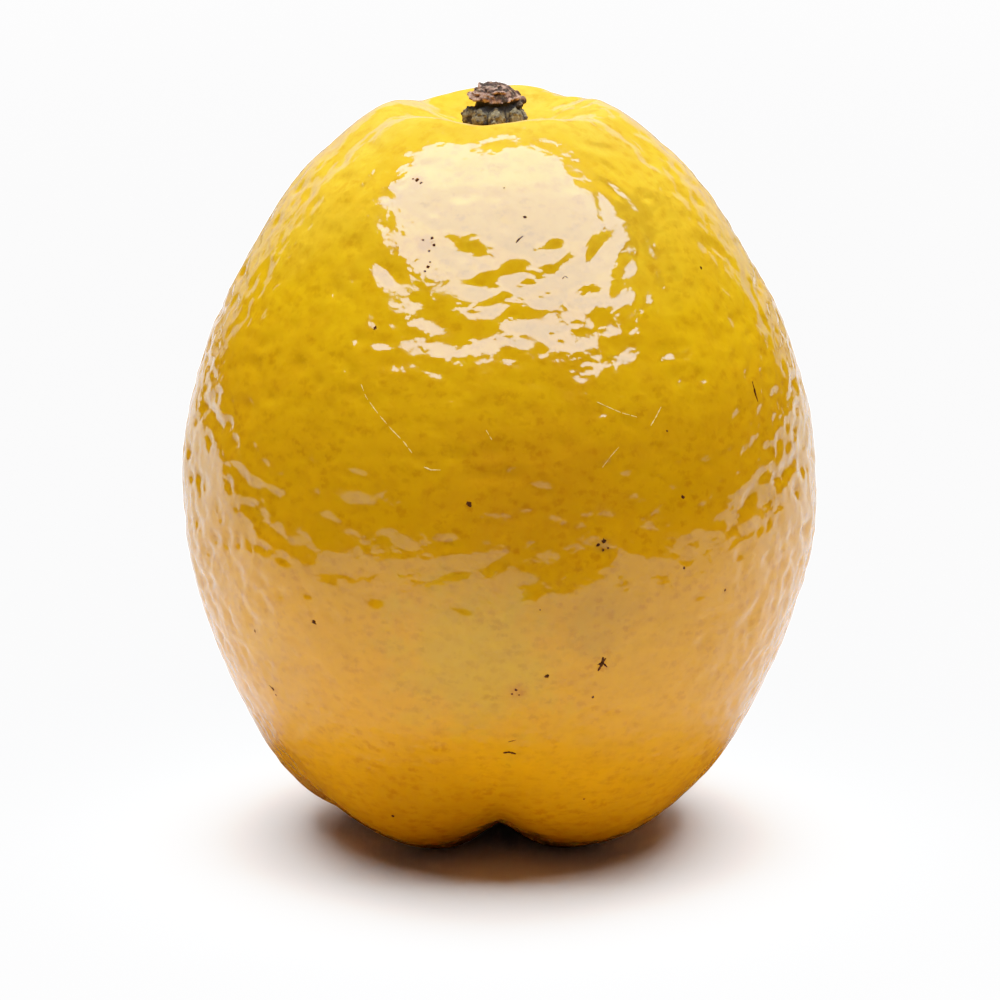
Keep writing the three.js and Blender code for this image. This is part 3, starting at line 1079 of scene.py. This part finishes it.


# Bark colours by height above the seat: the lobes' grey-green and the cap's browns, with painted shade,
# dark at the seat and in a band at the recess under the cap.
BARK_TONES_AND_SHADE = [
    (0.0, srgb(40, 28, 18)),
    (0.1, srgb(92, 84, 62)),
    (0.36, srgb(104, 97, 74)),
    (0.46, srgb(66, 54, 40)),
    (0.54, srgb(34, 20, 14)),
    (0.6, srgb(120, 82, 62)),
    (0.72, srgb(96, 60, 44)),
    (0.86, srgb(70, 42, 32)),
    (0.95, srgb(62, 40, 32)),
]


def bark_material(seat):
    nodes = Nodes("bark")
    spot = nodes.millimetres()
    height = nodes.math("SUBTRACT", nodes.add("SeparateXYZ", Vector=spot).outputs["Z"], seat)
    blotch = nodes.noise(spot, 0.9, detail=4, roughness=0.65)
    level = nodes.math("ADD", height, nodes.ramp(blotch, 0.2, 0.8, -0.3, 0.3, smooth_step=False))
    bands_and_shade = nodes.colours(nodes.ramp(level, 0, 5, smooth_step=False), BARK_TONES_AND_SHADE)
    relief, painted_gap_shade, edge = (
        nodes.add("Attribute", {"attribute_name": name}).outputs["Fac"]
        for name in ("relief", "painted_gap_shade", "edge")
    )
    patchy = nodes.ramp(blotch, 0.3, 0.55, 0.35, 1)
    torn = nodes.math("MULTIPLY", nodes.ramp(edge, 0.15, 0.75, 0, 0.85), patchy)
    bands_and_shade = nodes.mix(torn, bands_and_shade, srgb(178, 142, 126))
    # Painted shade: dark on the cap away from the torn edges, in the hollows under its plates.
    on_cap = nodes.ramp(height, 3.0, 3.3)
    between = nodes.math("MULTIPLY", nodes.ramp(edge, 0.35, 0.04, 0, 0.85), on_cap)
    bands_and_shade = nodes.mix(between, bands_and_shade, srgb(38, 21, 15))
    # Painted highlight on the raised bark and painted shade in its hollows, from the relief that roughen
    # keeps.
    crest = nodes.mix(nodes.ramp(height, 2.3, 2.9), srgb(150, 144, 114), srgb(182, 140, 112))
    colour = nodes.mix(nodes.ramp(relief, 0.05, 0.5, 0, 0.7), bands_and_shade, crest)
    colour = nodes.mix(nodes.ramp(relief, 0.0, -0.45, 0, 0.9), colour, srgb(22, 13, 9))
    lichen = nodes.noise(spot, 0.4, detail=3)
    colour = nodes.mix(nodes.ramp(lichen, 0.52, 0.75, 0, 0.35), colour, srgb(140, 136, 108))
    colour = nodes.mix(nodes.ramp(lichen, 0.48, 0.3, 0, 0.55), colour, srgb(34, 22, 15))
    return nodes.finish(
        # Painted shade: near black in the collar's gaps and in the recess under the cap.
        Base_Color=nodes.mix(painted_gap_shade, colour, srgb(16, 9, 6)),
        Roughness=nodes.ramp(blotch, 0.2, 0.8, 0.7, 0.95),
        Specular_IOR_Level=0.3,
        Normal=nodes.bump(nodes.noise(spot, 0.22, detail=3, roughness=0.7), 0.06),
    )


def make_stalk(offset):
    shape, rims = stalk_shape()
    piece = remeshed("stalk_bark", shape, BARK_CELL, bark_material(STALK_SEAT))
    keep(piece.data, "painted_gap_shade", painted_shade_mask(read_points(piece.data)))
    keep(piece.data, "edge", edge_of_plates(read_points(piece.data), rims))
    roughen(piece, 0.10, 0.07)
    points = read_points(piece.data) + (STALK_LEAN, 0, STALK_SEAT - PRESSED_FLAT) + offset
    write_points(piece.data, points)
    return piece


# Calyx

def sepal(index):
    """A dried leaf: a thin shell with a raised midrib, bent down and out from the root."""
    along_steps, across_steps = 26, 12
    along = np.linspace(0, 1, along_steps + 1)[:, None]
    across = np.linspace(-1, 1, across_steps + 1)[None, :]
    half = SEPAL_WIDTH / 2
    knots = np.array([
        (0.55 * half, -0.4),
        (1.25 * half, 0.3 * SEPAL_LENGTH),
        (0.9 * half, 0.55 * SEPAL_LENGTH),
        (0.16, SEPAL_LENGTH),
    ])
    left = 1 - along
    weights = np.hstack([left ** 3, 3 * left ** 2 * along, 3 * left * along ** 2, along ** 3])
    outline = weights @ knots
    inside = 1 - across ** 2
    x = across * outline[:, :1]
    y = np.repeat(outline[:, 1:], across_steps + 1, 1)
    thick = 0.12 + 0.26 * inside * (1 - 0.6 * along)
    veins = 0.05 * np.sin(9 * along * math.pi - 5 * np.abs(across)) * inside
    curl = 0.25 * np.sin(2.7 * index + 3 * along) * across ** 2
    middle = 0.16 * x ** 2 + 0.035 * np.maximum(y, 0) ** 2
    sheets = []
    for side in (1, -1):
        rib = 0.14 * smooth(across, 0.14) * left * (side > 0)
        z = middle + side * (thick / 2 + rib + veins) + curl
        sheets.append(np.stack([x, y, z], -1).reshape(-1, 3))
    count = len(sheets[0])
    row = across_steps + 1
    faces = []
    for i in range(along_steps):
        for j in range(across_steps):
            a = i * row + j
            faces.append((a, a + 1, a + row + 1, a + row))
            faces.append((count + a, count + a + row, count + a + row + 1, count + a + 1))
    end = along_steps * row
    rim = [*range(0, end, row), *range(end, end + across_steps)]
    rim += [*range(end + across_steps, across_steps, -row), *range(across_steps, 0, -1)]
    for a, b in zip(rim, rim[1:] + rim[:1]):
        faces.append((a, b, count + b, count + a))
    openness = math.radians(56 + 8 * math.sin(2.1 * index))
    points = turn_about_x(np.vstack(sheets), -openness)
    points = turn_about_x(points, math.pi) * (-1, 1, -1)
    azimuth = (index + 0.12 * math.sin(3 * index)) * TURN / SEPALS
    return turn_about_z(points + (0, -1.5, 0), azimuth), faces


def stamen(index):
    azimuth = index * TURN / STAMENS + 0.2 * math.sin(5 * index)
    length = 2.6 + 0.5 * math.sin(2.9 * index)
    levels = np.linspace(0, 1, 9)
    radii = np.interp(levels, [0, 0.72, 0.84, 0.95, 1], [0.28, 0.15, 0.3, 0.24, 0.02])
    profile = [(0, 0.0), *zip(radii, levels * length), (0, 1.01 * length)]
    points, faces = lathe(profile, 10)
    points[:, 0] += 0.25 * math.sin(1.9 * index) * (points[:, 2] / length) ** 2
    points[:, 2] *= -1
    faces = [face[::-1] for face in faces]
    points = turn_about_x(points, math.radians(-14 - 8 * math.sin(1.3 * index)))
    return turn_about_z(points + (0, -1.15, 0.2), azimuth), faces


def dried_material():
    nodes = Nodes("dried_calyx")
    spot = nodes.millimetres()
    blotch = nodes.noise(spot, 1.6, detail=4, roughness=0.65)
    tones = [(0.25, srgb(52, 36, 22)), (0.5, srgb(98, 74, 46)), (0.75, srgb(142, 112, 76))]
    down = nodes.noise(spot, 0.3, detail=3)
    downy = nodes.ramp(down, 0.5, 0.8, 0, 0.5)
    return nodes.finish(
        Base_Color=nodes.mix(downy, nodes.colours(blotch, tones), srgb(176, 158, 122)),
        Roughness=nodes.ramp(blotch, 0.3, 0.7, 0.75, 0.95),
        Specular_IOR_Level=0.25,
        Normal=nodes.bump(down, 0.06),
    )


def make_calyx(offset):
    shape = Shape()
    cup = [(0, -0.7), (0.8, -0.66), (1.6, -0.55), (2.2, -0.25), (2.5, 0.1), (2.2, 0.4), (0, 0.45)]
    shape.add(*lathe(cup, 48))
    for index in range(SEPALS):
        shape.add(*sepal(index))
    for index in range(STAMENS):
        shape.add(*stamen(index))
    points = shape.all_points() + (0, 0, CALYX_ROOT - PRESSED_FLAT) + offset
    return new_object("calyx_dried", points, shape.faces, dried_material())


# Marks on the skin

class Skin:
    """Finds places on the finished skin, in millimetres."""

    def __init__(self, skin, camera):
        mesh = skin.data
        corners = [vertex.co.copy() for vertex in mesh.vertices]
        self.tree = BVHTree.FromPolygons(corners, [tuple(face.vertices) for face in mesh.polygons])
        self.eye = camera.matrix_world.translation.copy()
        self.turn = camera.matrix_world.to_3x3()

    def hit(self, start, way):
        """The first point of the skin on a ray, and its normal."""
        point, normal, _, _ = self.tree.ray_cast(start, way)
        return np.array(point) / MM, np.array(normal)

    def under_pixel(self, x, y):
        half = SENSOR / LENS / 2
        across = (2 * x / PICTURE - 1) * half
        up = (1 - 2 * y / PICTURE) * half
        ray = (self.turn @ Vector((across, up, -1))).normalized()
        return self.hit(self.eye, ray)

    def at(self, azimuth, height):
        out = Vector((math.sin(azimuth), -math.cos(azimuth), 0))
        start = out * 0.1 + Vector((0, 0, height * MM))
        return self.hit(start, -out)


def level_axes(normal):
    across = np.cross((0, 0, 1), normal)
    across = across / max(np.linalg.norm(across), 0.001)
    return across, np.cross(normal, across)


def speck(place, size, longest, random):
    """A low dried dot with an uneven edge, sunk into the skin, and longest times as long at most."""
    point, normal = place
    across, up = level_axes(normal)
    stretch, turn = random.uniform(1, longest), random.uniform(0, 3)
    points, faces = cube_sphere(GRAIN_CELLS)
    uneven = 1 + 0.25 * random.normal(size=(len(points), 1)) * (np.abs(points[:, 2:]) < 0.7)
    points = points * uneven * (size * stretch, size, 0.3 * size)
    points = turn_about_z(points, turn)
    return point + points @ np.stack([across, up, normal]), faces


THREAD_SIDES = 6


def thread(places, width, random):
    """A thin raised line through places on the skin, tapered at both ends."""
    count = len(places)
    angle = np.arange(THREAD_SIDES)[:, None] * TURN / THREAD_SIDES
    rings = []
    for index, (point, normal) in enumerate(places):
        ahead = places[min(index + 1, count - 1)][0] - places[max(index - 1, 0)][0]
        ahead = ahead / max(np.linalg.norm(ahead), 1e-6)
        side = np.cross(ahead, normal)
        taper = math.sin(math.pi * (index + 0.4) / (count - 0.2)) ** 0.5
        half = width / 2 * taper * random.uniform(0.55, 1.2)
        rings.append(point + half * np.cos(angle) * side + 0.7 * half * np.sin(angle) * normal)
    last = (count - 1) * THREAD_SIDES
    faces = [tuple(range(THREAD_SIDES))[::-1], tuple(range(last, last + THREAD_SIDES))]
    for a in range(0, last, THREAD_SIDES):
        b = a + THREAD_SIDES
        for i in range(THREAD_SIDES):
            j = (i + 1) % THREAD_SIDES
            faces.append((a + i, a + j, b + j, b + i))
    return np.vstack(rings), faces


def along_pixels(skin, corners, step=1.5):
    """Places under the pixels of a line through the given corners."""
    places = []
    for (x0, y0), (x1, y1) in zip(corners, corners[1:]):
        steps = max(2, round(math.hypot(x1 - x0, y1 - y0) / step))
        for part in np.linspace(0, 1, steps, endpoint=False):
            places.append(skin.under_pixel(x0 + part * (x1 - x0), y0 + part * (y1 - y0)))
    places.append(skin.under_pixel(*corners[-1]))
    return places


# Dots of the picture: pixel and radius in millimetres.
DOTS = [
    ((469, 504), 0.26), ((314, 622), 0.24), ((255, 631), 0.17), ((273, 689), 0.22), ((276, 695), 0.14),
    ((375, 328), 0.2), ((701, 268), 0.2), ((667, 431), 0.14), ((683, 497), 0.2), ((684, 568), 0.16),
    ((725, 590), 0.14), ((393, 816), 0.2), ((584, 799), 0.12), ((525, 217), 0.17), ((504, 188), 0.1),
    ((547, 676), 0.22), ((593, 697), 0.16), ((598, 545), 0.2), ((604, 541), 0.24), ((603, 550), 0.16),
    ((608, 548), 0.12), ((516, 690), 0.16), ((512, 694), 0.12), ((519, 695), 0.1), ((428, 267), 0.17),
    ((430, 262), 0.12), ((425, 271), 0.12), ((417, 180), 0.22), ((421, 183), 0.14), ((413, 179), 0.12),
    ((432, 238), 0.17), ((434, 245), 0.19), ((429, 251), 0.14), ((423, 240), 0.12), ((540, 610), 0.1),
]
# Dark lines of the picture: pixels from end to end, and the width in millimetres.
CRACKS = [
    ([(752, 381), (754, 388), (755, 393), (758, 402)], 0.34),
    ([(603, 657), (602, 664), (598, 671)], 0.5),
    ([(597, 665), (602, 663), (606, 658)], 0.34),
    ([(602, 662), (607, 667)], 0.3),
    ([(503, 753), (509, 752), (516, 754)], 0.42),
    ([(508, 742), (516, 740)], 0.16),
    ([(516, 243), (519, 239), (523, 236)], 0.26),
    ([(562, 279), (565, 276), (568, 278)], 0.14),
    ([(269, 685), (274, 690)], 0.2),
    ([(544, 677), (549, 675)], 0.25),
]
SCRATCHES = [
    ([(361, 384), (366, 397), (376, 411), (380, 416)], 0.13),
    ([(380, 416), (392, 430), (403, 441), (412, 453)], 0.16),
    ([(424, 467), (431, 470), (442, 470)], 0.2),
    ([(597, 402), (610, 408), (622, 413), (637, 417)], 0.15),
    ([(661, 407), (656, 417), (650, 427)], 0.16),
    ([(619, 447), (611, 456), (602, 468)], 0.1),
    ([(486, 430), (492, 440)], 0.1),
]


def mark_material(name, size, low, high, **sockets):
    """Blotches of two colours, about size millimetres across."""
    nodes = Nodes(name)
    tone = nodes.noise(nodes.millimetres(), size, detail=2)
    return nodes.finish(Base_Color=nodes.colours(tone, [(0.3, low), (0.7, high)]), **sockets)


def make_marks(skin):
    """Dark dots and cracks, placed as in the picture, with more scattered where it doesn't show."""
    random = np.random.default_rng(SEED + 2)
    dark = Shape()
    for pixel, size in DOTS:
        dark.add(*speck(skin.under_pixel(*pixel), size, 1.3, random))
    for corners, width in CRACKS:
        dark.add(*thread(along_pixels(skin, corners), width, random))
    for _ in range(70):
        azimuth = random.uniform(0.27, 0.73) * TURN
        size = 0.08 + 0.2 * random.random() ** 2
        dark.add(*speck(skin.at(azimuth, random.uniform(10, 86)), size, 1.8, random))
    tones = (srgb(34, 18, 8), srgb(84, 48, 20))
    material = mark_material("dark_mark", 0.3, *tones, Roughness=0.9, Specular_IOR_Level=0.0)
    return new_object("skin_specks", dark.all_points(), dark.faces, material)


def make_scratches(skin):
    random = np.random.default_rng(SEED + 3)
    pale = Shape()
    for corners, width in SCRATCHES:
        places = along_pixels(skin, corners)
        start = 0
        while start < len(places) - 2:
            end = start + int(random.integers(4, 12))
            pale.add(*thread(places[start:end + 1], 0.8 * width, random))
            start = end + int(random.integers(0, 3))
    for _ in range(14):
        azimuth = random.uniform(0.3, 0.7) * TURN
        height = random.uniform(30, 80)
        slope = random.uniform(-1.2, 1.2)
        steps = range(int(random.integers(5, 16)))
        places = [skin.at(azimuth + 0.01 * step, height + 0.4 * slope * step) for step in steps]
        pale.add(*thread(places, random.uniform(0.1, 0.17), random))
    # Pale lines: partly the scratches' own paler colour, partly a painted glint where they catch the
    # light.
    tones = (srgb(214, 160, 50), srgb(240, 208, 120))
    material = mark_material("pale_scratch_and_glint", 0.5, *tones, Roughness=0.5)
    return new_object("skin_scratches", pale.all_points(), pale.faces, material)


# Build

set_colours()
make_stage()
make_light()

skin, axis = make_skin()
camera = make_camera(axis)
bpy.context.view_layer.update()
offset = np.array(axis) / MM
dent_skin(skin, offset, Skin(skin, camera))
surface = Skin(skin, camera)
skin.data.materials[0] = skin_material(surface)

stalk = make_stalk(offset)
calyx = make_calyx(offset)
specks = make_marks(surface)
scratches = make_scratches(surface)

for piece in (skin, stalk, calyx, specks, scratches):
    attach(piece, "root")
replacements = [
    (skin, "fruit", "skin"),
    (stalk, "stalk", "bark"),
    (calyx, "calyx", "dried_sepal"),
]
for piece, node, slot in replacements:
    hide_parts(node)
